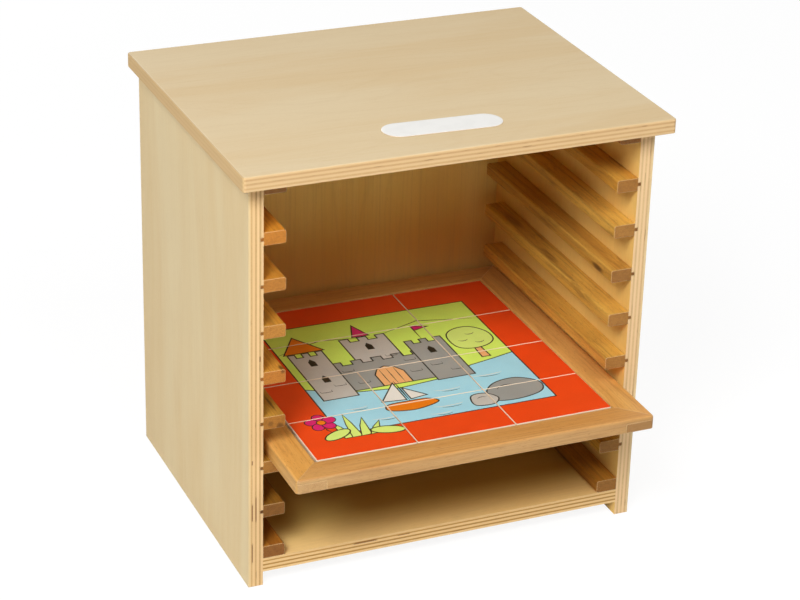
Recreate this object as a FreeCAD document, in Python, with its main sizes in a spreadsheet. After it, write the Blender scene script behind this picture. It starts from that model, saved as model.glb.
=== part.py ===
import FreeCAD, Part
import math
import os

import Sketcher
from FreeCAD import Placement, Rotation, Vector

# Open-fronted plywood case for framed picture puzzles.  Wooden runners, tongued into grooves in
# the sides, carry the puzzle trays; one tray lies in the case and stands out at the front.
# Millimetres, +Z up, open front towards -Y.  The origin is on the floor, midway between the
# outer sides and midway between the tray's front edge and the back of the case.

doc = FreeCAD.newDocument("PuzzleStorageCase")

# ---------------------------------------------------------------- driving dimensions

SIZES = [
    ("ply", 9.5, "thickness of the seven-layer birch plywood panels"),
    ("foot_height", 9.5, "clear height under the bottom panel"),
    ("top_side_overhang", 7.5, "top panel beyond each side panel"),
    ("top_front_overhang", 12.3, "top panel in front of the side panels"),
    ("top_corner_radius", 2.0, "top panel corners, seen from above"),
    ("top_edge_round", 1.2, "rounding round the upper face of the top panel"),
    ("top_under_round", 0.4, "edge round the under face of the top panel, only broken"),
    ("rail_count", 7, "tongued runners on each side"),
    ("rail_width", 14.2, "runner, from the side panel inwards"),
    ("rail_height", 8.4, "runner and glue strip, top to bottom"),
    ("rail_round", 1.2, "rounding of the runner's two free long edges"),
    ("rail_back_gap", 12.5, "from the back ends of runners and glue strips to the back panel"),
    ("tongue_depth", 2.1, "tongue, beyond the runner's shoulders"),
    ("tongue_height", 2.4, "tongue, top to bottom"),
    ("groove_clearance", 0.1, "room round the tongue in its groove"),
    ("slot_gap", 22.15, "clear height between two runners"),
    ("low_slot_gap", 21.0, "clear height over the bottom glue strip"),
    ("high_slot_gap", 23.9, "clear height under the top glue strip"),
    ("tray_rail", 2, "runner that carries the tray, counted from the bottom"),
    ("stand_out", 44.0, "tray in front of the side panels"),
    ("back_gap", 2.9, "from the tray to the back panel"),
    ("play_left", 5.0, "from the tray to the left side panel"),
    ("play_right", 0.8, "from the tray to the right side panel"),
    ("strip_width", 19.5, "tray frame strip, seen from above"),
    ("mitre_height", 3.0, "upper, mitred layer of the frame's half-lap corners"),
    ("tray_corner_radius", 2.5, "tray corners, seen from above"),
    ("outer_round", 1.8, "rounding of the frame's upper outer edge"),
    ("inner_round", 1.8, "rounding of the frame's upper inner edge"),
    ("rebate_width", 6.0, "rebate under the frame for the base"),
    ("base_thickness", 3.0, "plywood base in the rebate"),
    ("base_clearance", 0.2, "room round the base in its rebate"),
    ("tile_columns", 3, "puzzle tiles from left to right"),
    ("tile_rows", 4, "puzzle tiles from back to front"),
    ("wide_tile_rows", 2, "rows at the back whose first tile is two columns wide"),
    ("tile_width", 66.2, "tile, left to right"),
    ("tile_length", 49.5, "tile, back to front"),
    ("tile_thickness", 5.0, "tile, top to bottom"),
    ("tile_drop", 1.0, "tile face below the top of the frame"),
    ("tile_gap", 0.5, "saw cut between two tiles"),
    ("tile_play_left", 1.4, "from the tiles to the frame, left"),
    ("tile_play_right", 0.2, "from the tiles to the frame, right"),
    ("tile_play_front", 1.4, "from the tiles to the frame, front"),
    ("tile_play_back", 0.2, "from the tiles to the frame, back"),
    ("tile_corner_radius", 0.8, "tile corners, seen from above"),
    ("tile_edge_bevel", 0.25, "bevel round the tile's printed face"),
]

sheet = doc.addObject("Spreadsheet::Sheet", "Sizes")
for row, (alias, value, meaning) in enumerate(SIZES, start=1):
    sheet.set(f"A{row}", str(value))
    sheet.setAlias(f"A{row}", alias)
    sheet.set(f"B{row}", meaning)
doc.recompute()

# ---------------------------------------------------------------- sizes worked out from them

TILES_WIDTH = ("(Sizes.tile_columns * Sizes.tile_width"
               " + (Sizes.tile_columns - 1) * Sizes.tile_gap)")
TILES_LENGTH = ("(Sizes.tile_rows * Sizes.tile_length"
                " + (Sizes.tile_rows - 1) * Sizes.tile_gap)")
RECESS_WIDTH = f"({TILES_WIDTH} + Sizes.tile_play_left + Sizes.tile_play_right)"
RECESS_LENGTH = f"({TILES_LENGTH} + Sizes.tile_play_front + Sizes.tile_play_back)"
TRAY_WIDTH = f"({RECESS_WIDTH} + 2 * Sizes.strip_width)"
TRAY_LENGTH = f"({RECESS_LENGTH} + 2 * Sizes.strip_width)"
TRAY_HEIGHT = "(Sizes.base_thickness + Sizes.tile_thickness + Sizes.tile_drop)"
LAP_HEIGHT = f"({TRAY_HEIGHT} - Sizes.mitre_height)"
REBATE_SPAN_X = f"({RECESS_WIDTH} + 2 * Sizes.rebate_width)"
REBATE_SPAN_Y = f"({RECESS_LENGTH} + 2 * Sizes.rebate_width)"

INNER_WIDTH = f"({TRAY_WIDTH} + Sizes.play_left + Sizes.play_right)"
INNER_DEPTH = f"({TRAY_LENGTH} - Sizes.stand_out + Sizes.back_gap)"
RAIL_LENGTH = f"({INNER_DEPTH} - Sizes.rail_back_gap)"
CASE_DEPTH = f"({INNER_DEPTH} + Sizes.ply)"
CASE_FRONT = f"((Sizes.stand_out - {CASE_DEPTH}) / 2)"
FLOOR_TOP = "(Sizes.foot_height + Sizes.ply)"
RAIL_PITCH = "(Sizes.rail_height + Sizes.slot_gap)"
FIRST_RAIL = f"({FLOOR_TOP} + Sizes.rail_height + Sizes.low_slot_gap)"
LAST_RAIL = f"({FIRST_RAIL} + (Sizes.rail_count - 1) * {RAIL_PITCH})"
HIGH_STRIP = f"({LAST_RAIL} + Sizes.rail_height + Sizes.high_slot_gap)"
SIDE_HEIGHT = f"({HIGH_STRIP} + Sizes.rail_height)"
GROOVE_HEIGHT = "(Sizes.tongue_height + 2 * Sizes.groove_clearance)"

TRAY_X = "((Sizes.play_left - Sizes.play_right) / 2)"
TRAY_Y = f"({CASE_FRONT} - Sizes.stand_out + {TRAY_LENGTH} / 2)"
TRAY_Z = f"({FIRST_RAIL} + (Sizes.tray_rail - 1) * {RAIL_PITCH} + Sizes.rail_height)"

HALF_TURN = Rotation(Vector(0, 0, 1), 180)
TOLERANCE = 1e-6

nodes = []


# ---------------------------------------------------------------- shared modelling steps

def new_body(name):
    """A body that becomes a piece of its own."""
    body = doc.addObject("PartDesign::Body", name)
    body.Label = name
    return body


def sketch_on(body, role, name, lift="0"):
    """An empty sketch on one of the body's own origin planes, raised by lift."""
    plane = next(item for item in body.Origin.OriginFeatures if item.Role == role)
    sketch = body.newObject("Sketcher::SketchObject", name)
    sketch.AttachmentSupport = [(plane, "")]
    sketch.MapMode = "FlatFace"
    sketch.setExpression("AttachmentOffset.Base.z", lift)
    return sketch


def add_polygon(sketch, corners):
    """A closed outline whose corners are pairs of expressions, measured from the origin."""
    count = len(corners)
    start = [Vector(math.cos(turn), math.sin(turn), 0)
             for turn in (2 * math.pi * (k + 0.3) / count for k in range(count))]
    for k in range(count):
        sketch.addGeometry(Part.LineSegment(start[k], start[(k + 1) % count]), False)
    for k in range(count):
        sketch.addConstraint(Sketcher.Constraint("Coincident", k, 2, (k + 1) % count, 1))
    for k, corner in enumerate(corners):
        for kind, place, size in zip(("DistanceX", "DistanceY"), start[k], corner):
            index = sketch.addConstraint(Sketcher.Constraint(kind, -1, 1, k, 1, place))
            sketch.setExpression(f"Constraints[{index}]", size)


def add_rectangle(sketch, left, low, right, high):
    add_polygon(sketch, [(left, low), (right, low), (right, high), (left, high)])


def add_centred_rectangle(sketch, width, length):
    add_rectangle(sketch, f"-{width} / 2", f"-{length} / 2", f"{width} / 2", f"{length} / 2")


def pad(body, sketch, length, name, backwards=False, both_ways=False):
    feature = body.newObject("PartDesign::Pad", name)
    feature.Profile = sketch
    feature.setExpression("Length", length)
    feature.Reversed = backwards
    feature.Midplane = both_ways


def pocket(body, sketch, depth, name, backwards=False):
    """Cut the sketch into the body, and make sure that the cut removed something."""
    doc.recompute()
    before = body.Shape.Volume
    feature = body.newObject("PartDesign::Pocket", name)
    feature.Profile = sketch
    feature.setExpression("Length", depth)
    feature.Reversed = backwards
    doc.recompute()
    if body.Shape.Volume > before - TOLERANCE:
        raise RuntimeError(f"{body.Label}: {name} cuts nothing")
    return feature


def dress_edges(body, kind, name, measure, size, chosen):
    """Round or bevel each edge of the body for which chosen(edge) holds."""
    doc.recompute()
    base = body.Tip
    edges = [f"Edge{k}" for k, edge in enumerate(base.Shape.Edges, 1) if chosen(edge)]
    feature = body.newObject(kind, name)
    feature.Base = (base, edges)
    feature.setExpression(measure, size)


def round_edges(body, name, radius, chosen):
    dress_edges(body, "PartDesign::Fillet", name, "Radius", radius, chosen)


def bevel_edges(body, name, size, chosen):
    dress_edges(body, "PartDesign::Chamfer", name, "Size", size, chosen)


def is_upright(edge):
    return edge.BoundBox.XLength < TOLERANCE and edge.BoundBox.YLength < TOLERANCE


def lies_at(edge, height):
    box = edge.BoundBox
    return abs(box.ZMin - height) < TOLERANCE and abs(box.ZMax - height) < TOLERANCE


def place(piece, x, y, z, rotation=None):
    """Put the piece where it belongs in the case and list it as a node."""
    if rotation is not None:
        piece.Placement = Placement(Vector(0, 0, 0), rotation)
    for axis, position in (("x", x), ("y", y), ("z", z)):
        piece.setExpression(f"Placement.Base.{axis}", position)
    nodes.append(piece)


# ---------------------------------------------------------------- plywood case

def make_side(name, hand):
    """Side panel that runs down to the floor; hand is -1 on the left and 1 on the right.

    The inner face is the body's YZ plane.  One stopped groove is milled into it for each
    tongued runner, open at the front and as long as the runner.
    """
    body = new_body(name)
    outline = sketch_on(body, "YZ_Plane", f"{name}_outline")
    add_rectangle(outline, "0", "0", CASE_DEPTH, SIDE_HEIGHT)
    pad(body, outline, "Sizes.ply", f"{name}_panel", backwards=hand < 0)

    groove = sketch_on(body, "YZ_Plane", f"{name}_groove_outline")
    middle = f"({FIRST_RAIL} + Sizes.rail_height / 2)"
    add_rectangle(groove, "0", f"{middle} - {GROOVE_HEIGHT} / 2",
                  RAIL_LENGTH, f"{middle} + {GROOVE_HEIGHT} / 2")
    cut = pocket(body, groove, "Sizes.tongue_depth + Sizes.groove_clearance",
                 f"{name}_groove", backwards=hand > 0)

    row = body.newObject("PartDesign::LinearPattern", f"{name}_grooves")
    row.Originals = [cut]
    row.Direction = (groove, ["V_Axis"])
    row.setExpression("Length", f"(Sizes.rail_count - 1) * {RAIL_PITCH}")
    row.setExpression("Occurrences", "Sizes.rail_count")
    body.Tip = row
    place(body, f"{hand} * {INNER_WIDTH} / 2", CASE_FRONT, "0")


def make_bottom():
    """Bottom panel between the sides, held off the floor by them and flush with their fronts."""
    body = new_body("bottom_panel")
    outline = sketch_on(body, "XY_Plane", "bottom_outline")
    add_centred_rectangle(outline, INNER_WIDTH, CASE_DEPTH)
    pad(body, outline, "Sizes.ply", "bottom_sheet")
    place(body, "0", f"{CASE_FRONT} + {CASE_DEPTH} / 2", "Sizes.foot_height")


def make_back():
    """Back panel between the sides, standing on the bottom panel under the top panel."""
    body = new_body("back_panel")
    outline = sketch_on(body, "XZ_Plane", "back_outline")
    add_rectangle(outline, f"-{INNER_WIDTH} / 2", "0",
                  f"{INNER_WIDTH} / 2", f"{SIDE_HEIGHT} - {FLOOR_TOP}")
    pad(body, outline, "Sizes.ply", "back_sheet", backwards=True)
    place(body, "0", f"{CASE_FRONT} + {INNER_DEPTH}", FLOOR_TOP)


def make_top():
    """Top panel with an overhang at the front and sides, its corners and edges rounded."""
    body = new_body("top_panel")
    outline = sketch_on(body, "XY_Plane", "top_outline")
    half_width = f"({INNER_WIDTH} / 2 + Sizes.ply + Sizes.top_side_overhang)"
    add_rectangle(outline, f"-{half_width}", "-Sizes.top_front_overhang",
                  half_width, CASE_DEPTH)
    pad(body, outline, "Sizes.ply", "top_sheet")
    round_edges(body, "top_corners", "Sizes.top_corner_radius", is_upright)
    round_edges(body, "top_upper_edges", "Sizes.top_edge_round",
                lambda edge: lies_at(edge, sheet.ply))
    round_edges(body, "top_under_edges", "Sizes.top_under_round",
                lambda edge: lies_at(edge, 0))
    place(body, "0", CASE_FRONT, SIDE_HEIGHT)


# ---------------------------------------------------------------- runners and glue strips

def make_runner(name, hand, height, tongued):
    """Beech strip on a side panel, its two free long edges rounded.

    The strip is drawn for the left side, with its shoulder on the body's YZ plane, and is the
    same both ways up and end for end, so the right-hand one is the same strip turned round.
    """
    body = new_body(name)
    section = sketch_on(body, "XZ_Plane", f"{name}_section")
    corners = [("0", "0"), ("Sizes.rail_width", "0"),
               ("Sizes.rail_width", "Sizes.rail_height"), ("0", "Sizes.rail_height")]
    if tongued:
        above = "(Sizes.rail_height + Sizes.tongue_height) / 2"
        below = "(Sizes.rail_height - Sizes.tongue_height) / 2"
        corners += [("0", above), ("-Sizes.tongue_depth", above),
                    ("-Sizes.tongue_depth", below), ("0", below)]
    add_polygon(section, corners)
    pad(body, section, RAIL_LENGTH, f"{name}_strip", both_ways=True)
    round_edges(body, f"{name}_rounding", "Sizes.rail_round",
                lambda edge: edge.BoundBox.XMin > sheet.rail_width - TOLERANCE
                and edge.BoundBox.YLength > TOLERANCE)
    place(body, f"{hand} * {INNER_WIDTH} / 2", f"{CASE_FRONT} + {RAIL_LENGTH} / 2", height,
          HALF_TURN if hand > 0 else None)


# ---------------------------------------------------------------- puzzle tray

def make_frame_blank():
    """The whole tray frame before it is divided at its corner joints."""
    body = new_body("frame_blank")
    outline = sketch_on(body, "XY_Plane", "frame_outline")
    add_centred_rectangle(outline, TRAY_WIDTH, TRAY_LENGTH)
    pad(body, outline, TRAY_HEIGHT, "frame_slab")
    round_edges(body, "frame_corners", "Sizes.tray_corner_radius", is_upright)

    recess = sketch_on(body, "XY_Plane", "recess_outline")
    add_centred_rectangle(recess, RECESS_WIDTH, RECESS_LENGTH)
    pocket(body, recess, TRAY_HEIGHT, "recess", backwards=True)

    top = body.Shape.BoundBox.ZMax
    outer_reach = body.Shape.BoundBox.XMax - sheet.strip_width / 2

    def is_inner(edge):
        box = edge.BoundBox
        return lies_at(edge, top) and max(box.XMax, -box.XMin) < outer_reach \
            and max(box.YMax, -box.YMin) < body.Shape.BoundBox.YMax - sheet.strip_width / 2

    round_edges(body, "frame_inner_edge", "Sizes.inner_round", is_inner)
    round_edges(body, "frame_outer_edge", "Sizes.outer_round",
                lambda edge: lies_at(edge, top) and not is_inner(edge)
                and max(abs(edge.CenterOfMass.x), abs(edge.CenterOfMass.y)) > outer_reach)

    rebate = sketch_on(body, "XY_Plane", "rebate_outline")
    add_centred_rectangle(rebate, REBATE_SPAN_X, REBATE_SPAN_Y)
    pocket(body, rebate, "Sizes.base_thickness", "rebate", backwards=True)
    return body


def make_joint_block(name, lower, upper):
    """What one frame strip keeps of the blank: a lapped lower layer and a mitred upper one."""
    body = new_body(name)
    low_layer = sketch_on(body, "XY_Plane", f"{name}_lap")
    add_polygon(low_layer, lower)
    pad(body, low_layer, LAP_HEIGHT, f"{name}_lap_layer")
    high_layer = sketch_on(body, "XY_Plane", f"{name}_mitre", lift=LAP_HEIGHT)
    add_polygon(high_layer, upper)
    pad(body, high_layer, "Sizes.mitre_height", f"{name}_mitre_layer")
    return body


def make_strip(name, blank, block, rotation=None):
    strip = doc.addObject("Part::Common", name)
    strip.Label = name
    strip.Base = blank
    strip.Tool = block
    place(strip, TRAY_X, TRAY_Y, TRAY_Z, rotation)


def make_tray_frame():
    """Four strips with mitred half-lap corners: the side strips run through underneath."""
    blank = make_frame_blank()
    outer_x, outer_y = f"{TRAY_WIDTH} / 2", f"{TRAY_LENGTH} / 2"
    inner_x, inner_y = f"{RECESS_WIDTH} / 2", f"{RECESS_LENGTH} / 2"
    side_block = make_joint_block(
        "side_strip_block",
        [(inner_x, f"-{outer_y}"), (outer_x, f"-{outer_y}"), (outer_x, outer_y),
         (inner_x, outer_y)],
        [(inner_x, f"-{inner_y}"), (outer_x, f"-{outer_y}"), (outer_x, outer_y),
         (inner_x, inner_y)])
    front_block = make_joint_block(
        "front_strip_block",
        [(f"-{inner_x}", f"-{outer_y}"), (inner_x, f"-{outer_y}"), (inner_x, f"-{inner_y}"),
         (f"-{inner_x}", f"-{inner_y}")],
        [(f"-{outer_x}", f"-{outer_y}"), (outer_x, f"-{outer_y}"), (inner_x, f"-{inner_y}"),
         (f"-{inner_x}", f"-{inner_y}")])
    make_strip("tray_strip_right", blank, side_block)
    make_strip("tray_strip_left", blank, side_block, HALF_TURN)
    make_strip("tray_strip_front", blank, front_block)
    make_strip("tray_strip_back", blank, front_block, HALF_TURN)


def make_tray_base():
    """Plywood base, let into the rebate from below and flush with the frame's underside."""
    body = new_body("tray_base")
    outline = sketch_on(body, "XY_Plane", "base_outline")
    add_centred_rectangle(outline, f"({REBATE_SPAN_X} - 2 * Sizes.base_clearance)",
                          f"({REBATE_SPAN_Y} - 2 * Sizes.base_clearance)")
    pad(body, outline, "Sizes.base_thickness", "base_sheet")
    place(body, TRAY_X, TRAY_Y, TRAY_Z)


def make_tile(column, row, columns_wide):
    """One sawn puzzle tile; column 0 is at the left and row 0 at the back."""
    name = f"tile_row{row + 1}_col{column + 1}"
    body = new_body(name)
    outline = sketch_on(body, "XY_Plane", f"{name}_outline")
    width = f"({columns_wide} * Sizes.tile_width + {columns_wide - 1} * Sizes.tile_gap)"
    add_centred_rectangle(outline, width, "Sizes.tile_length")
    pad(body, outline, "Sizes.tile_thickness", f"{name}_blank")
    round_edges(body, f"{name}_corners", "Sizes.tile_corner_radius", is_upright)
    bevel_edges(body, f"{name}_face_edge", "Sizes.tile_edge_bevel",
                lambda edge: lies_at(edge, sheet.tile_thickness))
    x = (f"{TRAY_X} - {RECESS_WIDTH} / 2 + Sizes.tile_play_left"
         f" + {column} * (Sizes.tile_width + Sizes.tile_gap) + {width} / 2")
    y = (f"{TRAY_Y} + {RECESS_LENGTH} / 2 - Sizes.tile_play_back"
         f" - {row + 0.5} * Sizes.tile_length - {row} * Sizes.tile_gap")
    place(body, x, y, f"{TRAY_Z} + Sizes.base_thickness")


# ---------------------------------------------------------------- the object

for side_name, side in (("left", -1), ("right", 1)):
    make_side(f"side_{side_name}", side)
    make_runner(f"glue_strip_bottom_{side_name}", side, FLOOR_TOP, tongued=False)
    for level in range(int(sheet.rail_count)):
        make_runner(f"runner_{side_name}_{level + 1}", side,
                    f"{FIRST_RAIL} + {level} * {RAIL_PITCH}", tongued=True)
    make_runner(f"glue_strip_top_{side_name}", side, HIGH_STRIP, tongued=False)
make_bottom()
make_back()
make_top()
make_tray_frame()
make_tray_base()
for tile_row in range(int(sheet.tile_rows)):
    first_wide = 2 if tile_row < int(sheet.wide_tile_rows) else 1
    make_tile(0, tile_row, first_wide)
    for tile_column in range(first_wide, int(sheet.tile_columns)):
        make_tile(tile_column, tile_row, 1)
doc.recompute()

# ---------------------------------------------------------------- checks and export

for item in doc.Objects:
    if "Invalid" in item.State or "Error" in item.State:
        raise RuntimeError(f"{item.Label} failed: {item.State}")
for piece in nodes:
    if piece.Shape.isNull() or not piece.Shape.isValid() or len(piece.Shape.Solids) != 1:
        raise RuntimeError(f"{piece.Label} isn't one valid solid")

os.makedirs("parts", exist_ok=True)
for piece in nodes:
    piece.Shape.exportStep(f"parts/{piece.Label}.step")
print(f"{len(nodes)} pieces written")
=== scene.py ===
import math

import bmesh
import bpy
from mathutils import Matrix, Vector
from mathutils.geometry import delaunay_2d_cdt


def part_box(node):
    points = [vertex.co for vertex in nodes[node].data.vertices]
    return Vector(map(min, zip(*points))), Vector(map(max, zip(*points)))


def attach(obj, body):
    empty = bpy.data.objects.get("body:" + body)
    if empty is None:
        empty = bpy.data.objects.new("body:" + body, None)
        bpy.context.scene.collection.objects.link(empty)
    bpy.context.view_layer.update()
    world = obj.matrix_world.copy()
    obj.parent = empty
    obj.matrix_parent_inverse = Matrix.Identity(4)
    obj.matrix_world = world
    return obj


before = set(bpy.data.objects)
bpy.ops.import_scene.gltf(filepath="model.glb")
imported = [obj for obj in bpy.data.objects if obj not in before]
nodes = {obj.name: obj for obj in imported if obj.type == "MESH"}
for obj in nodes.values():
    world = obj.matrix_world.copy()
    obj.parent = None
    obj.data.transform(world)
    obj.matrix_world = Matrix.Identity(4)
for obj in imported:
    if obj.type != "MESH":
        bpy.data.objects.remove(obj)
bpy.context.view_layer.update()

MM = 0.001

# ---------------------------------------------------------------------------
# Side panels. Two upright boards of seven-layer birch plywood, 9.5 mm thick, sanded and given a thin
# satin lacquer. The face veneer is peeled birch, pale and nearly plain, with its grain upright; the
# sawn edges show the layers, and the layers cut across their grain are the dark ones.

PLY_LAYERS = 7
PLY_THICKNESS = 9.5
BIRCH_PORE = (184, 148, 98)
SAWN_END = (209, 177, 126)
PLY_CORE_GAP = (112, 66, 28)
# gaps between the strips of a core layer: where each lies along the grain and through the board, half
# its length and half its height, in millimetres
PLY_OPEN_JOINTS = {
    "side_left": ((53.0, -130.0, 6.5, 0.5), (24.0, -130.0, 7.5, 0.5), (88.0, -130.0, 1.6, 0.5),
                  (55.0, -127.6, 9.5, 0.45), (158.0, -125.1, 2.0, 0.5)),
    "bottom_panel": ((-54.5, 16.6, 8.5, 0.75), (-28.0, 16.4, 5.0, 0.35)),
}
SIDE_OUTSIDE = (224, 203, 158)
SIDE_FIGURE = 0.03


def shade(red, green, blue):
    """A colour as it looks on a screen, 0 to 255, as the linear colour that a shader takes."""
    parts = []
    for part in (red, green, blue):
        part = part / 255
        parts.append(part / 12.92 if part <= 0.04045 else ((part + 0.055) / 1.055) ** 2.4)
    return (*parts, 1.0)


def node(tree, kind, feeds=(), out=0, **settings):
    """One shader node; feeds gives its inputs, by number or name, as sockets or as plain values."""
    made = tree.nodes.new("ShaderNode" + kind)
    for name, value in settings.items():
        setattr(made, name, value)
    for socket, value in dict(feeds).items():
        if isinstance(value, bpy.types.NodeSocket):
            tree.links.new(value, made.inputs[socket])
        else:
            made.inputs[socket].default_value = value
    return made.outputs[out]


def sum_of(tree, operation, first, second=0.0, third=0.0):
    """One step of arithmetic on sockets or plain numbers."""
    return node(tree, "Math", {0: first, 1: second, 2: third}, operation=operation)


def mixed(tree, amount, first, second, blend="MIX"):
    """Two colours mixed by an amount; plain colours are given as screen values."""
    first = first if isinstance(first, bpy.types.NodeSocket) else shade(*first)
    second = second if isinstance(second, bpy.types.NodeSocket) else shade(*second)
    return node(tree, "Mix", {0: amount, 6: first, 7: second}, out=2, data_type="RGBA", blend_type=blend)


def ramped(tree, value, low, high, top=1.0):
    """0 where value is at low, rising smoothly to top where it reaches high; low may be the larger."""
    return node(tree, "MapRange", {0: value, 1: low, 2: high, 3: 0.0, 4: top},
                interpolation_type="SMOOTHSTEP")


def cloud(tree, place, size, detail=2.0, rough=0.5, bend=0.0):
    """Soft noise whose patches are about size millimetres along, across and through the wood."""
    fitted = node(tree, "Mapping", {"Vector": place, "Scale": [1 / part for part in size]})
    return node(tree, "TexNoise", {"Vector": fitted, "Scale": 1.0, "Detail": detail,
                                   "Roughness": rough, "Distortion": bend})


def wood_axes(tree, grain, across, through):
    """The place in the wood in millimetres, turned so that its grain comes first; the same place along
    X, Y and Z; and how far the surface faces each way, without its sign and with it."""
    coordinates = tree.nodes.new("ShaderNodeTexCoord")
    parts = tree.nodes.new("ShaderNodeSeparateXYZ")
    scaled = node(tree, "VectorMath", {0: coordinates.outputs["Object"], "Scale": 1 / MM},
                  operation="SCALE")
    tree.links.new(scaled, parts.inputs[0])
    facing = tree.nodes.new("ShaderNodeSeparateXYZ")
    tree.links.new(coordinates.outputs["Normal"], facing.inputs[0])
    place = node(tree, "CombineXYZ", {0: parts.outputs[grain], 1: parts.outputs[across],
                                      2: parts.outputs[through]})
    turned = {axis: sum_of(tree, "ABSOLUTE", facing.outputs[axis]) for axis in (grain, across, through)}
    return place, parts, turned, facing


def new_finish(name, roughness, specular=0.4):
    """A new material, with its tree and its surface shader."""
    material = bpy.data.materials.new(name)
    material.use_nodes = True
    surface = material.node_tree.nodes["Principled BSDF"]
    surface.inputs["Roughness"].default_value = roughness
    surface.inputs["Specular IOR Level"].default_value = specular
    return material, material.node_tree, surface


def peeled_face(tree, place, sideways, fibres, inner, outside, inside, figure):
    """The face veneer: broad soft figure, faint rings and stripes, fine fibres and short dark pores."""
    broad = cloud(tree, place, (260, 42, 30), detail=3, bend=0.6)
    face = mixed(tree, inner, outside, inside)
    warm = mixed(tree, 1.0, face, (250, 243, 232), "MULTIPLY")
    face = mixed(tree, ramped(tree, broad, 0.36, 0.72), face, warm)
    rings = sum_of(tree, "MULTIPLY", cloud(tree, place, (420, 60, 60), bend=0.4), 14.0)
    rings = sum_of(tree, "ADD", rings, sum_of(tree, "MULTIPLY", sideways, 0.02))
    rings = sum_of(tree, "PINGPONG", rings, 0.5)
    face = mixed(tree, ramped(tree, rings, 0.36, 0.5, figure), face, BIRCH_PORE)
    face = mixed(tree, ramped(tree, fibres, 0.50, 0.78, 0.15), face, BIRCH_PORE)
    stripes = ramped(tree, cloud(tree, place, (140, 2.2, 2.2), detail=2), 0.48, 0.66)
    striped = sum_of(tree, "MULTIPLY", stripes, sum_of(tree, "MULTIPLY_ADD", inner, figure, 0.02))
    face = mixed(tree, striped, face, BIRCH_PORE)
    pores = cloud(tree, place, (5.0, 0.22, 0.22), detail=1)
    return mixed(tree, ramped(tree, pores, 0.66, 0.76, 0.30), face, BIRCH_PORE)


def layered_edge(tree, place, depth, fibres, pitted, end_of_board, layers, seed):
    """The sawn edges: pale layers along their grain, dark ones across it, and faint marks in the core.
    depth is counted in layers, layers are the pale and the dark colour, and seed sets their tones."""
    pale_layers, dark_layers = layers
    layer = sum_of(tree, "FLOOR", depth)
    crossed = sum_of(tree, "MODULO", layer, 2.0)
    cut_across = sum_of(tree, "ABSOLUTE", sum_of(tree, "SUBTRACT", crossed, end_of_board))
    tone = node(tree, "TexWhiteNoise", {"W": sum_of(tree, "ADD", layer, seed)}, noise_dimensions="1D")
    pale = mixed(tree, sum_of(tree, "MULTIPLY", tone, 0.30), pale_layers, dark_layers)
    pale = mixed(tree, ramped(tree, fibres, 0.45, 0.8, 0.30), pale, dark_layers)
    long_marks = cloud(tree, place, (16, 16, 1.2), detail=2)
    dark = mixed(tree, sum_of(tree, "MULTIPLY", tone, 0.16), dark_layers, PLY_CORE_GAP)
    dark = mixed(tree, ramped(tree, pitted, 0.42, 0.72, 0.22), dark, PLY_CORE_GAP)
    dark = mixed(tree, ramped(tree, long_marks, 0.62, 0.70, 0.45), dark, PLY_CORE_GAP)
    within = sum_of(tree, "PINGPONG", sum_of(tree, "SUBTRACT", depth, layer), 0.5)
    dark_share = sum_of(tree, "MULTIPLY", cut_across, ramped(tree, within, 0.02, 0.20))
    edge = mixed(tree, dark_share, pale, dark)
    glue_line = ramped(tree, sum_of(tree, "SUBTRACT", 0.08, within), 0.0, 0.06, 0.12)
    edge = mixed(tree, glue_line, edge, PLY_CORE_GAP)
    return mixed(tree, sum_of(tree, "MULTIPLY", end_of_board, 0.75), edge, SAWN_END), layer


def open_joint(tree, along_grain, through_board, pitted, joint):
    """How much of a gap in a core layer shows, with ragged ends."""
    along, deep, half_length, half_height = joint
    beside = sum_of(tree, "SUBTRACT", along_grain, along)
    beside = sum_of(tree, "DIVIDE", sum_of(tree, "ABSOLUTE", beside), half_length)
    above = sum_of(tree, "SUBTRACT", through_board, deep)
    above = sum_of(tree, "DIVIDE", sum_of(tree, "ABSOLUTE", above), half_height)
    ragged = sum_of(tree, "MULTIPLY_ADD", pitted, 0.7, sum_of(tree, "MAXIMUM", beside, above))
    return ramped(tree, ragged, 1.40, 1.05, 0.7)


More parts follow.
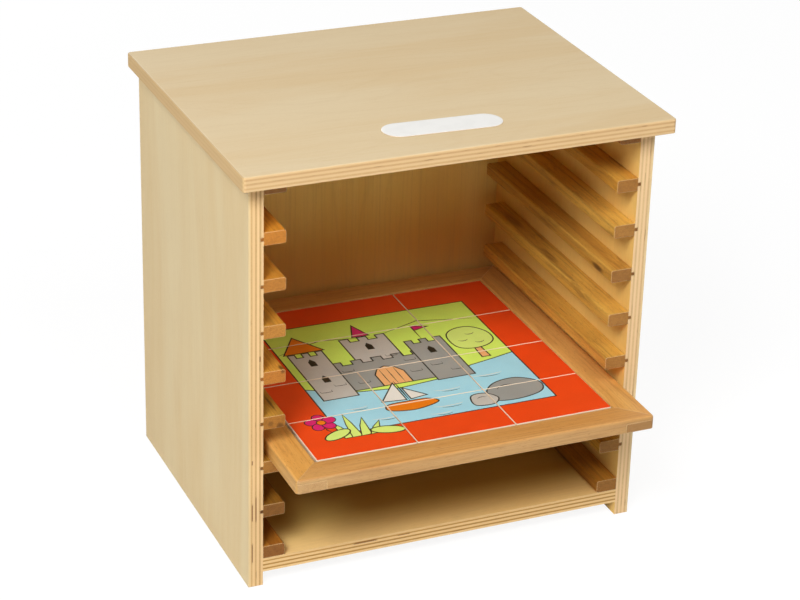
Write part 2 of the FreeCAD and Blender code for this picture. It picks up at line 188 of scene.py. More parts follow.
def plywood(board, grain, across, through, first_face, inwards, outside, inside, layers, figure,
            painted_shade=None):
    """Lacquered birch plywood; its lowest layer begins at first_face, in millimetres. The face that
    looks inwards along the through axis, 1 or -1, is of warmer veneer whose colour also carries painted
    warm shade of the light bounced inside the case, figure is how strongly it is striped, and the last
    argument gives the axis, start, end and colour of painted shade that darkens the inner face along it.
    layers are the pale and the dark layers on its edges."""
    material, tree, surface = new_finish(board + "_birch", 0.54, 0.22)
    place, parts, turned, facing = wood_axes(tree, grain, across, through)
    # the inner faces take the inside colour: warmer veneer, and painted warm shade of the light bounced
    # inside the case
    inner = ramped(tree, sum_of(tree, "MULTIPLY", facing.outputs[through], inwards), 0.5, 0.8)
    # painted shade: the inner face darkens from start to end along the axis, under the tray on the
    # bottom and low down on the back
    if painted_shade:
        axis, start, end, brown = painted_shade
        inside = mixed(tree, ramped(tree, parts.outputs[axis], start, end), inside, brown)
    fibres = cloud(tree, place, (34, 0.5, 0.5), detail=3, rough=0.6)
    face = peeled_face(tree, place, parts.outputs[across], fibres, inner, outside, inside, figure)

    depth = sum_of(tree, "MULTIPLY", sum_of(tree, "SUBTRACT", parts.outputs[through], first_face),
                   PLY_LAYERS / PLY_THICKNESS)
    end_of_board = sum_of(tree, "GREATER_THAN", turned[grain], 0.6)
    pitted = cloud(tree, place, (0.5, 0.5, 0.35), detail=2, rough=0.7)
    seed = first_face + 0.37
    edge, layer = layered_edge(tree, place, depth, fibres, pitted, end_of_board, layers, seed)
    for joint in PLY_OPEN_JOINTS.get(board, ()):
        gap = open_joint(tree, parts.outputs[grain], parts.outputs[through], pitted, joint)
        edge = mixed(tree, gap, edge, PLY_CORE_GAP)
    if through == "X":
        # an upright board's outermost layer is the face veneer itself, turned over the rounded edge
        outermost = 0 if inwards > 0 else PLY_LAYERS - 1
        away = sum_of(tree, "ABSOLUTE", sum_of(tree, "SUBTRACT", layer, outermost))
        edge = mixed(tree, ramped(tree, away, 0.9, 0.1, 0.75), edge, face)

    on_edge = sum_of(tree, "SUBTRACT", 1.0, ramped(tree, turned[through], 0.55, 0.80))
    # painted shade that dulls the highlight on the rounded arrises at the ends of the board
    arris_shade = ramped(tree, turned[grain], 0.35, 0.75)
    face = mixed(tree, arris_shade, face, mixed(tree, 1.0, face, (200, 192, 182), "MULTIPLY"))
    tree.links.new(mixed(tree, on_edge, face, edge), surface.inputs["Base Color"])
    roughness = sum_of(tree, "MULTIPLY_ADD", on_edge, 0.22, ramped(tree, fibres, 0.3, 0.8, 0.10))
    tree.links.new(sum_of(tree, "ADD", roughness, 0.50), surface.inputs["Roughness"])
    relief = sum_of(tree, "MULTIPLY_ADD", sum_of(tree, "MULTIPLY", pitted, on_edge), 1.6, fibres)
    bump = node(tree, "Bump", {"Strength": 0.16, "Distance": 0.0002, "Height": relief})
    tree.links.new(bump, surface.inputs["Normal"])
    return material


def finish(node_names, material):
    """Gives the pieces of these names their material."""
    for name in node_names:
        nodes[name].material_slots[0].material = material


# the way each inner face looks, its colour, which is warmer veneer and painted warm shade of the light
# bounced inside the case, and the pale and the dark layers of the edges
for side, inwards, inside, layers in (
        ("side_left", 1, (246, 208, 118), ((233, 200, 150), (212, 172, 114))),
        ("side_right", -1, (242, 202, 118), ((232, 199, 152), (226, 190, 138)))):
    first_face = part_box(side)[0].x / MM
    finish([side], plywood(side, "Z", "Y", "X", first_face, inwards, SIDE_OUTSIDE, inside, layers,
                           SIDE_FIGURE))

# ---------------------------------------------------------------------------
# Bottom, back and top panels. The same plywood, glued to the sides. The bottom and the top have their
# grain from side to side, the back has it upright, and the top stands past the case on three sides.

PANEL_OUTSIDE = (217, 196, 158)
# the axes along, across and through the grain, the way the inner face looks, its colour, partly painted
# warm shade, the pale and the dark layers of the edges, how striped the face is, and where painted shade
# darkens the inner face: towards the back of the bottom, under the tray, and low down on the back
for panel, grain, across, through, inwards, inside, layers, figure, painted_shade in (
        ("bottom_panel", "X", "Y", "Z", 1, (248, 210, 142), ((238, 204, 148), (190, 145, 78)), 0.05,
         ("Y", -92.0, -38.0, (210, 178, 100))),
        ("back_panel", "Z", "X", "Y", -1, (252, 227, 141), ((236, 204, 154), (192, 150, 94)), 0.09,
         ("Z", 190.0, 105.0, (227, 180, 99))),
        ("top_panel", "X", "Y", "Z", -1, (222, 186, 112), ((217, 185, 138), (208, 169, 117)), 0.05,
         None)):
    first_face = getattr(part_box(panel)[0], through.lower()) / MM
    finish([panel], plywood(panel, grain, across, through, first_face, inwards, PANEL_OUTSIDE, inside,
                            layers, figure, painted_shade))

# ---------------------------------------------------------------------------
# Bare name label. A long white sticker with round ends near the front of the top, pressed on by hand
# and so a little askew. It is soft vinyl with a domed clear coat, and nothing is printed on it.

LABEL_LENGTH = 77.0
LABEL_WIDTH = 22.0
LABEL_PLACE = (0.0, -57.7)
LABEL_TURN = -2.7
LABEL_THICKNESS = 0.45
LABEL_STEPS = 64
# how far in and how high each ring of its domed edge lies
LABEL_RINGS = ((0.0, 0.0), (0.0, 0.22), (0.18, 0.36), (0.6, 0.42), (3.0, LABEL_THICKNESS))
VINYL_WHITE = (234, 232, 227)
VINYL_SHADE = (230, 228, 223)
VINYL_RIM_SHADE = (206, 176, 140)


def make_label():
    """The sticker as a closed mesh: rings round its edge, filled above and below."""
    radius = LABEL_WIDTH / 2
    straight = LABEL_LENGTH / 2 - radius
    mesh = bmesh.new()
    rings = []
    for inset, height in LABEL_RINGS:
        ring = []
        for step in range(LABEL_STEPS):
            angle = 2 * math.pi * (step + 0.5) / LABEL_STEPS
            reach = radius - inset
            x = math.copysign(straight, math.cos(angle)) + reach * math.cos(angle)
            ring.append(mesh.verts.new((x * MM, reach * math.sin(angle) * MM, height * MM)))
        rings.append(ring)
    for lower, upper in zip(rings, rings[1:]):
        for step in range(LABEL_STEPS):
            after = (step + 1) % LABEL_STEPS
            mesh.faces.new((lower[step], lower[after], upper[after], upper[step]))
    mesh.faces.new(rings[-1])
    mesh.faces.new(rings[0][::-1])
    for face in mesh.faces:
        face.smooth = len(face.verts) == 4
    data = bpy.data.meshes.new("name_label")
    mesh.to_mesh(data)
    mesh.free()
    label = bpy.data.objects.new("name_label", data)
    bpy.context.scene.collection.objects.link(label)
    label.location = (LABEL_PLACE[0] * MM, LABEL_PLACE[1] * MM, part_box("top_panel")[1].z)
    label.rotation_euler.z = math.radians(LABEL_TURN)
    return label


def white_vinyl():
    """White vinyl under a clear coat, faintly uneven, with painted shade, browner, on the rim where the
    dome turns down.
    """
    material, tree, surface = new_finish("white_vinyl", 0.30)
    surface.inputs["Coat Weight"].default_value = 0.4
    surface.inputs["Coat Roughness"].default_value = 0.12
    coordinates = node(tree, "TexCoord", out=3)
    soft = node(tree, "TexNoise", {"Vector": coordinates, "Scale": 90.0, "Detail": 2.0})
    flat = mixed(tree, ramped(tree, soft, 0.4, 0.7), VINYL_WHITE, VINYL_SHADE)
    facing = node(tree, "SeparateXYZ", {0: node(tree, "TexCoord", out=1)}, out=2)
    # painted shade on the sloping domed rim
    rim = ramped(tree, sum_of(tree, "SUBTRACT", 1.0, facing), 0.02, 0.30, 0.75)
    tree.links.new(mixed(tree, rim, flat, VINYL_RIM_SHADE), surface.inputs["Base Color"])
    bump = node(tree, "Bump", {"Strength": 0.05, "Distance": 0.0003, "Height": soft})
    tree.links.new(bump, surface.inputs["Normal"])
    return material


label = make_label()
label.data.materials.append(white_vinyl())
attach(label, "case")

# ---------------------------------------------------------------------------
# Runners and glue strips. Planed beech battens, seven on each side, with a tongue that sits in a groove
# of the side; shorter ones glue the sides to the top and the bottom. Oiled beech, more orange than the
# tray, with brown flecks along the grain, and a knot or a dark mark in a few of them.

# knots and dark marks: x, y and z, half the length along the grain and half the width, in millimetres,
# and how strongly each shows
BEECH_KNOTS = ((108.8, -63.0, 173.5, 9.0, 2.2, 0.9), (-110.6, -79.5, 147.5, 5.0, 2.4, 0.9),
               (115.0, 72.0, 148.0, 17.0, 4.5, 0.5), (-112.2, -82.0, 110.6, 3.0, 2.8, 0.7),
               (-118.2, -82.0, 112.8, 3.0, 2.4, 0.45), (-112.6, -66.0, 117.9, 11.0, 1.2, 0.7))
KNOT_BROWN = (88, 52, 22)
# painted shade where the tongues sit in the grooves of the sides
GROOVE_SHADE = (96, 56, 24)
# the pale of sanded edges, lightened further as a painted highlight along them
BEECH_EDGE_AND_HIGHLIGHT = (244, 208, 152)
EDGE_SOFTNESS = 0.8
EDGE_WEAR_AND_HIGHLIGHT = 0.8
UNTINTED = (255, 255, 255)


def edge_wear_and_highlight(tree):
    """The surface turned softly at sharp edges, and how much a sanded edge shows, with a painted
    highlight on it, 0 on the flat.
    """
    soft = node(tree, "Bevel", {"Radius": EDGE_SOFTNESS * MM}, samples=4)
    flat = node(tree, "NewGeometry", out=3)
    along = node(tree, "VectorMath", {0: soft, 1: flat}, out=1, operation="DOT_PRODUCT")
    return soft, ramped(tree, sum_of(tree, "SUBTRACT", 1.0, along), 0.01, 0.22, EDGE_WEAR_AND_HIGHLIGHT)


def beech(name, grain, across, colours, mottled, tone=UNTINTED, knots=(), tucked_in=None,
          upright_light_tone=UNTINTED):
    """Planed beech; colours are the wood, its warm streaks, its flecks and its sawn ends, mottled is
    how far dark patches spread in it, tone tints one piece, in some with painted shade, and the last
    argument paints the different light on its upright faces. Further from the middle than the shoulder
    it is given, in millimetres, where the tongue sits in the side's groove, it carries painted shade of
    the groove."""
    wood, warm, fleck, end = colours
    material, tree, surface = new_finish(name, 0.48, 0.35)
    place, parts, turned, _ = wood_axes(tree, grain, across, "Z")
    boards = cloud(tree, place, (500, 60, 14), detail=1)
    streaks = cloud(tree, place, (150, 7, 5), detail=4, rough=0.6, bend=0.3)
    streaked = ramped(tree, streaks, 0.35, 0.68, 0.8)
    amount = sum_of(tree, "ADD", streaked, ramped(tree, boards, 0.42, 0.62, 0.5))
    colour = mixed(tree, amount, wood, warm)
    lines = cloud(tree, place, (110, 1.5, 1.5), detail=2)
    colour = mixed(tree, ramped(tree, lines, 0.50, 0.72, 0.40), colour, fleck)
    patches = cloud(tree, place, (46, 6, 6), detail=4, rough=0.65, bend=0.5)
    colour = mixed(tree, ramped(tree, patches, 0.50, 0.74, mottled), colour, fleck)
    fibres = cloud(tree, place, (22, 0.45, 0.45), detail=3, rough=0.6)
    colour = mixed(tree, ramped(tree, fibres, 0.45, 0.8, 0.35), colour, fleck)
    dashes = cloud(tree, place, (3.4, 0.38, 0.38), detail=1)
    colour = mixed(tree, ramped(tree, dashes, 0.62, 0.72, 0.55), colour, fleck)
    marks = cloud(tree, place, (24, 1.6, 1.6), detail=2, rough=0.6)
    colour = mixed(tree, ramped(tree, marks, 0.66, 0.76, 0.60), colour, fleck)
    dots = cloud(tree, place, (0.7, 0.6, 0.6), detail=3, rough=0.75)
    blots = cloud(tree, place, (30, 3.0, 1.7), detail=3, rough=0.7, bend=0.8)
    sawn = mixed(tree, ramped(tree, dots, 0.36, 0.70, 0.42), end, fleck)
    sawn = mixed(tree, ramped(tree, blots, 0.40, 0.66, 0.36), sawn, fleck)
    at_end = ramped(tree, turned[grain], 0.62, 0.82)
    colour = mixed(tree, at_end, colour, sawn)
    for x, y, z, half_length, half_width, strength in knots:
        offset = node(tree, "VectorMath", {0: place, 1: (y, x, z)}, operation="SUBTRACT")
        fitted = node(tree, "Mapping", {"Vector": offset,
                                        "Scale": (1 / half_length, 1 / half_width, 1 / half_width)})
        far = node(tree, "VectorMath", {0: fitted}, out=1, operation="LENGTH")
        far = sum_of(tree, "ADD", far, sum_of(tree, "MULTIPLY", marks, 0.5))
        core = ramped(tree, sum_of(tree, "SUBTRACT", 1.4, far), 0.0, 0.8, strength)
        colour = mixed(tree, core, colour, KNOT_BROWN)
    # painted shade of the side's groove on the tongue, past the side's inner face
    if tucked_in:
        tucked = sum_of(tree, "GREATER_THAN", sum_of(tree, "ABSOLUTE", parts.outputs["X"]), tucked_in)
        colour = mixed(tree, sum_of(tree, "MULTIPLY", tucked, 0.5), colour, GROOVE_SHADE)
    colour = mixed(tree, 1.0, colour, tone, "MULTIPLY")
    # painted light: upright faces take a greyer, less red colour than the tops
    upright = ramped(tree, turned["Z"], 0.95, 0.35)
    colour = mixed(tree, upright, colour, mixed(tree, 1.0, colour, upright_light_tone, "MULTIPLY"))
    soft, worn_and_highlit = edge_wear_and_highlight(tree)
    tree.links.new(mixed(tree, worn_and_highlit, colour, BEECH_EDGE_AND_HIGHLIGHT), surface.inputs["Base Color"])
    tree.links.new(sum_of(tree, "MULTIPLY_ADD", at_end, 0.2, 0.46), surface.inputs["Roughness"])
    relief = sum_of(tree, "MULTIPLY_ADD", sum_of(tree, "MULTIPLY", dots, at_end), 2.0, fibres)
    bump = node(tree, "Bump", {"Strength": 0.2, "Distance": 0.0003, "Height": relief, "Normal": soft})
    tree.links.new(bump, surface.inputs["Normal"])
    return material


# tints of single battens, from darker and lighter pieces of wood, and on the lowest runners at the left
# painted shade of the tray above them
BATTEN_TONES_AND_SHADE = {
    "runner_left_7": (255, 246, 216), "runner_left_6": (242, 240, 234),
    "runner_left_5": (248, 255, 255), "runner_left_4": (250, 240, 222),
    "runner_left_3": (224, 228, 220), "runner_left_2": (214, 218, 206),
    "runner_left_1": (180, 178, 162), "runner_right_7": (244, 238, 226),
    "runner_right_5": (236, 232, 232), "runner_right_2": (226, 228, 214),
    "runner_right_1": (230, 226, 190), "glue_strip_bottom_left": (228, 213, 180),
    "glue_strip_bottom_right": (244, 240, 204),
}
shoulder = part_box("side_right")[0].x / MM
for names, wood, mottled in (
        ("runner_left", ((220, 164, 70), (206, 138, 48), (142, 88, 34), (198, 132, 54)), 0.35),
        ("runner_right", ((220, 173, 80), (205, 148, 60), (124, 80, 32), (172, 120, 54)), 0.65),
        # the glue strips' beech is darker than the runners': darker wood, and painted shade of the top
        # and the tray over them
        ("glue_strip", ((200, 144, 66), (180, 118, 46), (120, 74, 28), (160, 110, 52)), 0.65)):
    for piece in [name for name in nodes if name.startswith(names)]:
        tone = BATTEN_TONES_AND_SHADE.get(piece, UNTINTED)
        finish([piece], beech(piece + "_beech", "Y", "X", wood, mottled, tone, BEECH_KNOTS, shoulder))

# ---------------------------------------------------------------------------
# Tray frame. Four beech strips with rounded edges, joined at the corners with half laps whose top half
# is mitred, so the side strips show their sawn ends low down at the front and the back.

ACROSS_BEECH = ((211, 160, 96), (202, 145, 76), (164, 110, 58), (198, 150, 90))
ALONG_BEECH = ((224, 170, 94), (214, 152, 73), (168, 112, 53), (180, 130, 72))
# the left strip is a paler copy of the side strips' beech, with a paler sawn end: painted light from the
# lamp on the left
LEFT_BEECH_LIT = ((230, 174, 94), (220, 157, 75), (172, 116, 56), (214, 165, 103))
# painted shade: the back strip a little darker and yellower than the front one
BACK_SHADE_TONE = (255, 252, 236)
# over 255 raises a colour: painted light makes the upright faces a little greyer than the tops
UPRIGHT_LIGHT_TONE = (238, 247, 266)
for strip, grain, across, wood, mottled, tone in (
        ("tray_strip_front", "X", "Y", ACROSS_BEECH, 0.40, UNTINTED),
        ("tray_strip_back", "X", "Y", ACROSS_BEECH, 0.40, BACK_SHADE_TONE),
        ("tray_strip_left", "Y", "X", LEFT_BEECH_LIT, 0.45, UNTINTED),
        ("tray_strip_right", "Y", "X", ALONG_BEECH, 0.45, UNTINTED)):
    finish([strip], beech(strip + "_beech", grain, across, wood, mottled, tone, upright_light_tone=UPRIGHT_LIGHT_TONE))

# ---------------------------------------------------------------------------
# Tray base. A thin plywood sheet in a rebate under the frame, glued and left bare. It carries the
# tiles, which lie on it loose.

BASE_COLOURS = ((200, 160, 108), (164, 122, 76))
THIN_LAYERS_PER_MM = 0.6


def thin_ply(name, colours):
    """Bare thin plywood; colours are the wood, and its brown fibres and the lines between its layers."""
    pale, brown = colours
    material, tree, surface = new_finish(name, 0.62, 0.3)
    place, parts, turned, _ = wood_axes(tree, "X", "Y", "Z")
    fibres = cloud(tree, place, (30, 0.6, 0.4), detail=3, rough=0.6)
    broad = cloud(tree, place, (180, 25, 20), detail=2)
    colour = mixed(tree, ramped(tree, broad, 0.4, 0.7, 0.5), pale, brown)
    colour = mixed(tree, ramped(tree, fibres, 0.45, 0.8, 0.4), colour, brown)
    layers = sum_of(tree, "MULTIPLY", parts.outputs["Z"], THIN_LAYERS_PER_MM)
    layers = sum_of(tree, "PINGPONG", layers, 0.5)
    upright = sum_of(tree, "SUBTRACT", 1.0, ramped(tree, turned["Z"], 0.3, 0.6))
    lines = sum_of(tree, "MULTIPLY", ramped(tree, layers, 0.36, 0.5, 0.5), upright)
    tree.links.new(mixed(tree, lines, colour, brown), surface.inputs["Base Color"])
    bump = node(tree, "Bump", {"Strength": 0.15, "Distance": 0.0003, "Height": fibres})
    tree.links.new(bump, surface.inputs["Normal"])
    return material


finish(["tray_base"], thin_ply("base_ply", BASE_COLOURS))

# ---------------------------------------------------------------------------
# Puzzle tiles. Ten plywood tiles sawn from one printed board, with pale bevelled edges; in the two rows
# at the back the first tile is twice as wide as the others.

TILE_CORE_COLOURS = ((238, 222, 198), (196, 164, 122))
tile_names = [name for name in nodes if name.startswith("tile_")]
finish(tile_names, thin_ply("tile_core", TILE_CORE_COLOURS))

# ---------------------------------------------------------------------------
# Printed picture. A paper print under satin varnish, glued to the board before it was sawn, so each
# tile carries its part of it: a castle by the water in flat child's colours with dark outlines, inside
# a wide red border. Distances are in millimetres from the picture's near left corner.

PRINT_BORDER = 26.0
NEAR_MARGIN = 0.6
FAR_MARGIN = 0.3
PAPER = 0.06
TILE_BEVEL = 0.25
SHEET_CORNER = 0.3
LINE = 0.95
THIN_LINE = 0.9
FINE_LINE = 0.7
SHARPEST_CORNER = 0.35
INKS = {
    "paper": (240, 232, 216), "red": (246, 76, 24), "green": (222, 255, 112), "leaf": (224, 248, 130),
    "blue": (172, 230, 246), "grey": (162, 164, 158), "pale_grey": (206, 202, 192),
    "dark": (38, 37, 30), "white": (240, 238, 228), "orange": (246, 132, 24), "pink": (224, 34, 116),
    "sand": (248, 186, 124),
}
INK_DEPTH = 0.93
ink_order = list(INKS)
# the shapes of the picture from the lowest to the uppermost, each with its ink
picture = []


def round_shape(points, steps=6):
    """A closed curve that runs smoothly through its points."""
    count = len(points)
    curve = []
    for at in range(count):
        before, here, after, later = (Vector(points[(at + step) % count]) for step in (-1, 0, 1, 2))
        for step in range(steps):
            t = step / steps
            curve.append(0.5 * (2 * here + (after - before) * t
                                + (2 * before - 5 * here + 4 * after - later) * t ** 2
                                + (3 * here - before - 3 * after + later) * t ** 3))
    return curve


def oval(x, y, wide, deep, turn=0.0, count=36):
    """An oval about x, y, turned anticlockwise by turn degrees."""
    lean = Matrix.Rotation(math.radians(turn), 2)
    points = []
    for step in range(count):
        angle = 2 * math.pi * step / count
        reach = Vector((wide / 2 * math.cos(angle), deep / 2 * math.sin(angle)))
        points.append(Vector((x, y)) + lean @ reach)
    return points


def grown(points, by):
    """The outline moved outwards, or inwards where by is negative; points run anticlockwise. A sharp
    corner is moved less than its lines would need, so that it grows no spike."""
    moved = []
    for at, here in enumerate(points):
        here = Vector(here)
        back = (here - Vector(points[at - 1])).normalized()
        ahead = (Vector(points[(at + 1) % len(points)]) - here).normalized()
        normal = Vector((back.y + ahead.y, -back.x - ahead.x))
        if normal.length < 1e-6:
            normal = Vector((back.y, -back.x))
        normal.normalize()
        moved.append(here + normal * by / max(SHARPEST_CORNER, normal.dot(Vector((back.y, -back.x)))))
    return moved


def turned_left(points):
    """The outline run anticlockwise."""
    twice_area = sum(points[at - 1][0] * here[1] - here[0] * points[at - 1][1]
                     for at, here in enumerate(points))
    return points if twice_area > 0 else points[::-1]


def draw(colour, points, line=LINE):
    """A flat colour inside a dark outline; line 0 leaves the outline out."""
    points = turned_left([Vector(point) for point in points])
    if line:
        picture.append(("dark", grown(points, line / 2)))
    picture.append((colour, grown(points, -line / 2) if line else points))


def stroke(points, wide, colour="dark"):
    """A brush line, thin at its two ends."""
    points = [Vector(point) for point in points]
    left, right = [], []
    for at, here in enumerate(points):
        way = (points[min(at + 1, len(points) - 1)] - points[max(at - 1, 0)]).normalized()
        half = wide / 2 * (0.25 + 0.75 * math.sin(math.pi * at / (len(points) - 1)))
        side = Vector((-way.y, way.x)) * half
        left.append(here + side)
        right.append(here - side)
    picture.append((colour, turned_left(right + left[::-1])))


def arc(x, y, wide, deep, start, stop, count=9):
    """Points along part of an oval, from start to stop degrees."""
    angles = [math.radians(start + (stop - start) * step / (count - 1)) for step in range(count)]
    return [(x + wide / 2 * math.cos(angle), y + deep / 2 * math.sin(angle)) for angle in angles]


def box_shape(x0, y0, x1, y1):
    """An upright rectangle from its near left to its far right corner."""
    return [(x0, y0), (x1, y0), (x1, y1), (x0, y1)]


def battlement(x0, y0, x1, y1, teeth, tooth=5.0):
    """A wall with square teeth along its top."""
    points = [(x0, y0), (x1, y0)]
    step = (x1 - x0) / (2 * teeth - 1)
    for at in range(teeth):
        right = x1 - 2 * at * step
        points += [(right, y1), (right - step, y1)]
        if at < teeth - 1:
            points += [(right - step, y1 - tooth), (right - 2 * step, y1 - tooth)]
    return points


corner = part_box("tile_row4_col1")[0] / MM
far_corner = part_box("tile_row1_col3")[1] / MM
print_wide = far_corner.x - corner.x
print_deep = far_corner.y - corner.y
inner_right = print_wide - PRINT_BORDER
inner_back = print_deep - PRINT_BORDER

draw("red", box_shape(NEAR_MARGIN, NEAR_MARGIN, print_wide - FAR_MARGIN, print_deep - FAR_MARGIN), 0)
draw("green", box_shape(PRINT_BORDER, PRINT_BORDER, inner_right, inner_back), THIN_LINE)
# the far bank and the water
hills = [(PRINT_BORDER, 138), (60, 150), (96, 143), (132, 156), (inner_right, 146)]
stroke(hills[:3], THIN_LINE)
stroke(hills[2:], THIN_LINE)
bank = [(34, 84), (58, 74), (84, 70), (112, 73), (140, 84), (158, 88)]
water = [(PRINT_BORDER, PRINT_BORDER), (inner_right, PRINT_BORDER), (inner_right, 92)] + bank[::-1]
draw("blue", water + [(PRINT_BORDER, 88)], THIN_LINE)
# the castle: keep, towers, wall and gate
draw("pale_grey", battlement(72, 96, 104, 146, 3))
draw("grey", battlement(40, 76, 132, 116, 7))
draw("pale_grey", battlement(32, 70, 56, 136, 3))
draw("grey", battlement(112, 72, 138, 130, 3))
draw("orange", [(30, 137), (58, 137), (44, 160)])
draw("pink", [(82, 147), (94, 147), (88, 164)])
draw("sand", [(76, 76), (96, 76), (96, 92), (92, 99), (86, 102), (80, 99), (76, 92)])
for plank in (81, 86, 91):
    stroke([(plank, 77), (plank, 88), (plank, 98)], FINE_LINE)
for x, y in ((44, 122), (44, 98), (125, 114), (88, 132)):
    draw("dark", [(x - 2.4, y - 5), (x + 2.4, y - 5), (x + 2.4, y + 1), (x, y + 5), (x - 2.4, y + 1)], 0)
for x, y in ((62, 104), (66, 86), (104, 90), (106, 106), (120, 94), (130, 84), (38, 82), (50, 88),
             (97, 116)):
    stroke([(x - 4, y + 1), (x - 3.6, y - 1.6), (x, y - 2), (x + 3.8, y - 1.8), (x + 4, y + 1)],
           FINE_LINE)
stroke([(125, 130), (125, 141), (125, 150)], THIN_LINE)
draw("pink", [(125, 150), (125, 143), (136, 146)])
# trees on the right
draw("sand", [(152, 92), (158, 92), (157, 112), (153, 112)])
draw("leaf", round_shape([(142, 112), (150, 106), (162, 107), (170, 114), (170, 126), (162, 136),
                          (150, 136), (142, 128)]))
for x, y in ((150, 120), (160, 115), (158, 128)):
    stroke(arc(x, y, 7, 5, 200, 340), FINE_LINE)
# boulders, boat and ripples
draw("grey", round_shape([(134, 34), (150, 31), (168, 36), (172, 48), (160, 58), (144, 56), (134, 46)]))
draw("pale_grey", round_shape([(120, 32), (132, 30), (138, 37), (132, 45), (122, 44)]))
stroke(arc(150, 46, 16, 10, 60, 170), 0.8)
stroke(arc(128, 38, 8, 6, 40, 150), FINE_LINE)
draw("orange", round_shape([(66, 44), (82, 40), (100, 45), (96, 51), (84, 52), (68, 51)], 8))
draw("white", [(82, 54), (82, 78), (66, 56)])
draw("white", [(85, 54), (97, 56), (85, 70)])
stroke([(83.5, 52), (83.5, 66), (83.5, 80)], 1.2)
for x, y, wide in ((60, 38, 18), (104, 40, 22), (112, 60, 20), (144, 70, 24), (48, 56, 16),
                   (96, 32, 16)):
    stroke(arc(x, y, wide, 5, 200, 340), 0.8, "white")
    stroke(arc(x + 2, y - 2.4, wide * 0.7, 4, 200, 330), 0.6)
# reeds and a flower over the near left corner of the border
for x, lean, tall in ((30, -5, 24), (35, 1, 30), (41, 5, 22), (47, 8, 15)):
    draw("leaf", [(x - 3.4, 20), (x + 3.4, 20), (x + 2 + lean * 0.5, 20 + tall * 0.6),
                  (x + lean, 20 + tall), (x - 2 + lean * 0.4, 20 + tall * 0.55)], FINE_LINE)
draw("leaf", oval(24, 26, 20, 9, 24))
draw("leaf", oval(56, 22, 22, 9, -14))
for petal in range(5):
    turn = 90 + 72 * petal
    x, y = 20 + 6 * math.cos(math.radians(turn)), 44 + 6 * math.sin(math.radians(turn))
    draw("pink", oval(x, y, 9, 8, turn, 20), FINE_LINE)
draw("orange", oval(20, 44, 6, 6, 0, 20), FINE_LINE)
stroke([(22, 30), (20, 34), (20, 37)], 1.1)


def ink(name, colour):
    """Flat printed colour under satin varnish, with the faint unevenness of print on paper."""
    material, tree, surface = new_finish("ink_" + name, 0.34, 0.45)
    place, _, _, _ = wood_axes(tree, "X", "Y", "Z")
    speckle = cloud(tree, place, (0.5, 0.5, 0.5), detail=2)
    broad = cloud(tree, place, (26, 26, 26), detail=2)
    deeper = tuple(part * INK_DEPTH for part in colour)
    amount = sum_of(tree, "ADD", ramped(tree, speckle, 0.35, 0.75, 0.45),
                    ramped(tree, broad, 0.35, 0.7, 0.4))
    tree.links.new(mixed(tree, amount, colour, deeper), surface.inputs["Base Color"])
    tree.links.new(sum_of(tree, "MULTIPLY_ADD", speckle, 0.14, 0.28), surface.inputs["Roughness"])
    bump = node(tree, "Bump", {"Strength": 0.06, "Distance": 0.0002, "Height": speckle})
    tree.links.new(bump, surface.inputs["Normal"])
    return material


def cut_picture(sheets):
    """The picture's points, and for each sheet's outline its faces, which meet edge to edge, with their
    inks; the uppermost shape that covers a face gives its ink."""
    points, shapes = [], []
    for outline in [shape for _, shape in picture] + sheets:
        shapes.append(list(range(len(points), len(points) + len(outline))))
        points += [Vector(point) for point in outline]
    cut_points, _, faces, _, _, sources = delaunay_2d_cdt(points, [], shapes, 1, 1e-5)
    cut = [[] for _ in sheets]
    for face, source in zip(faces, sources):
        tiles = [at - len(picture) for at in source if at >= len(picture)]
        inks = [at for at in source if at < len(picture)]
        if tiles:
            colour = picture[max(inks)][0] if inks else "paper"
            cut[tiles[0]].append((face, ink_order.index(colour)))
    return cut_points, cut


def printed_sheet(name, faces, top):
    """One tile's part of the print as a closed thin sheet, whose lower half is sunk into the tile."""
    mesh = bmesh.new()
    made = {}
    for face, colour in faces:
        for at in face:
            if at not in made:
                x, y = print_points[at]
                made[at] = mesh.verts.new(((x + corner.x) * MM, (y + corner.y) * MM, top + PAPER * MM))
        mesh.faces.new([made[at] for at in face]).material_index = colour
    # the rim in its order, as the loops of the faces along it
    along = {edge.link_loops[0].vert: edge.link_loops[0] for edge in mesh.edges if edge.is_boundary}
    rim = [next(iter(along.values()))]
    while rim[-1].link_loop_next.vert != rim[0].vert:
        rim.append(along[rim[-1].link_loop_next.vert])
    inks = [loop.face.material_index for loop in rim]
    upper = [loop.vert for loop in rim]
    lower = [mesh.verts.new(vert.co - Vector((0, 0, 2 * PAPER * MM))) for vert in upper]
    for at, colour in enumerate(inks):
        after = (at + 1) % len(rim)
        wall = (lower[at], lower[after], upper[after], upper[at])
        mesh.faces.new(wall).material_index = colour
    mesh.faces.new(lower[::-1])
    data = bpy.data.meshes.new("print_" + name)
    mesh.to_mesh(data)
    mesh.free()
    for material in ink_materials:
        data.materials.append(material)
    sheet = bpy.data.objects.new("print_" + name, data)
    bpy.context.scene.collection.objects.link(sheet)
    return sheet


outlines = []
for name in tile_names:
    low, high = (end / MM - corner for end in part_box(name))
    x0, y0, x1, y1 = low.x + TILE_BEVEL, low.y + TILE_BEVEL, high.x - TILE_BEVEL, high.y - TILE_BEVEL
    cut = SHEET_CORNER
    outlines.append([(x0 + cut, y0), (x1 - cut, y0), (x1, y0 + cut), (x1, y1 - cut), (x1 - cut, y1),
                     (x0 + cut, y1), (x0, y1 - cut), (x0, y0 + cut)])
print_points, print_faces = cut_picture(outlines)
ink_materials = [ink(name, INKS[name]) for name in ink_order]
for name, faces in zip(tile_names, print_faces):
    sheet = printed_sheet(name, faces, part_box(name)[1].z)
    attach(sheet, name)

# ---------------------------------------------------------------------------
# Studio. A plain white floor and a faint even sky. The strongest lamp is soft, ahead and to the left of
# the case; a weaker one is in front, a small one overhead, and two low ones are behind and at the right.
# The camera stands to the left of the open front and looks down at the case.

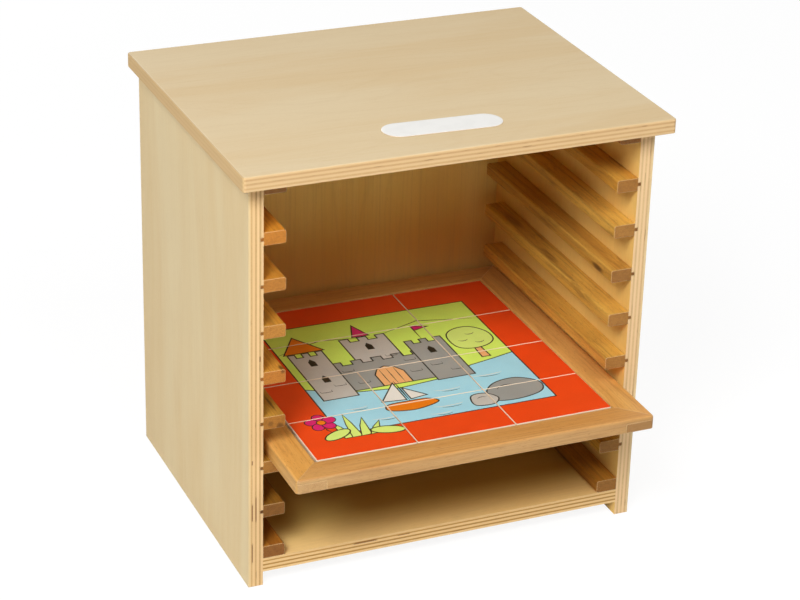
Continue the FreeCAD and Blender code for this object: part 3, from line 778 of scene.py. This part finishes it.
SKY = 0.04
FLOOR_REACH = 3
FLOOR_DROP = 0.0002
FLOOR_GREY = 0.86
FLOOR_GLOW = 1.06
GLOW_SHARE = 0.84
WHITE = (1.0, 1.0, 1.0, 1.0)


def sees_background(tree):
    """1 for rays that show the background, and 0 for rays that carry its light to the object."""
    paths = tree.nodes.new("ShaderNodeLightPath")
    seen = sum_of(tree, "MAXIMUM", paths.outputs["Is Camera Ray"], paths.outputs["Is Glossy Ray"])
    return sum_of(tree, "MAXIMUM", seen, paths.outputs["Is Transmission Ray"])


world = bpy.data.worlds.new("studio")
bpy.context.scene.world = world
world.use_nodes = True
sky_tree = world.node_tree
background = sky_tree.nodes["Background"]
background.inputs["Color"].default_value = WHITE
sky_tree.links.new(sum_of(sky_tree, "MULTIPLY_ADD", sees_background(sky_tree), 1 - SKY, SKY),
                   background.inputs["Strength"])

floor_mesh = bmesh.new()
for x, y in ((-1, -1), (1, -1), (1, 1), (-1, 1)):
    floor_mesh.verts.new((x * FLOOR_REACH, y * FLOOR_REACH, 0))
floor_mesh.faces.new(floor_mesh.verts)
floor_data = bpy.data.meshes.new("floor")
floor_mesh.to_mesh(floor_data)
floor_mesh.free()
floor = bpy.data.objects.new("floor", floor_data)
bpy.context.scene.collection.objects.link(floor)
floor.location.z = -FLOOR_DROP
floor_material, floor_tree, floor_surface = new_finish("white_floor", 0.9, 0.1)
floor_surface.inputs["Base Color"].default_value = (FLOOR_GREY, FLOOR_GREY, FLOOR_GREY, 1.0)
glow = node(floor_tree, "Emission", {"Color": WHITE, "Strength": FLOOR_GLOW})
amount = sum_of(floor_tree, "MULTIPLY", sees_background(floor_tree), GLOW_SHARE)
both = node(floor_tree, "MixShader", {0: amount, 1: floor_surface.outputs[0], 2: glow})
floor_tree.links.new(both, floor_tree.nodes["Material Output"].inputs["Surface"])
floor.data.materials.append(floor_material)

LAMP_SIZE = 0.8
LAMP_DISTANCE = 2.2
LAMP_AIM = Vector((0, 0, 0.14))


def soft_lamp(name, leftwards, upwards, watts):
    """A square soft lamp aimed at the middle of the case; its angles from the front are in degrees."""
    lamp = bpy.data.lights.new(name, "AREA")
    lamp.shape = "SQUARE"
    lamp.size = LAMP_SIZE
    lamp.energy = watts
    holder = bpy.data.objects.new(name, lamp)
    bpy.context.scene.collection.objects.link(holder)
    turn, rise = math.radians(leftwards), math.radians(upwards)
    away = Vector((-math.sin(turn) * math.cos(rise), -math.cos(turn) * math.cos(rise), math.sin(rise)))
    holder.location = LAMP_AIM + away * LAMP_DISTANCE
    holder.rotation_euler = away.to_track_quat("Z", "Y").to_euler()


soft_lamp("main_lamp", 44, 41, 41)
soft_lamp("front_lamp", -8, 46, 15)
soft_lamp("top_lamp", 0, 88, 3)
soft_lamp("back_lamp", 170, 14, 14)
soft_lamp("right_lamp", -105, 14, 11)

# a long lens from well back, about 1.6 m away
camera_data = bpy.data.cameras.new("camera")
camera_data.sensor_width = 36
camera_data.lens = 111.615
camera_data.clip_start = 0.05
camera = bpy.data.objects.new("camera", camera_data)
camera.location = (-0.57701, -1.32031, 0.83062)
camera.rotation_euler = [math.radians(turn) for turn in (64.36963, -1.47996, -22.92169)]
bpy.context.scene.collection.objects.link(camera)
bpy.context.scene.camera = camera
bpy.context.scene.view_settings.view_transform = "Standard"
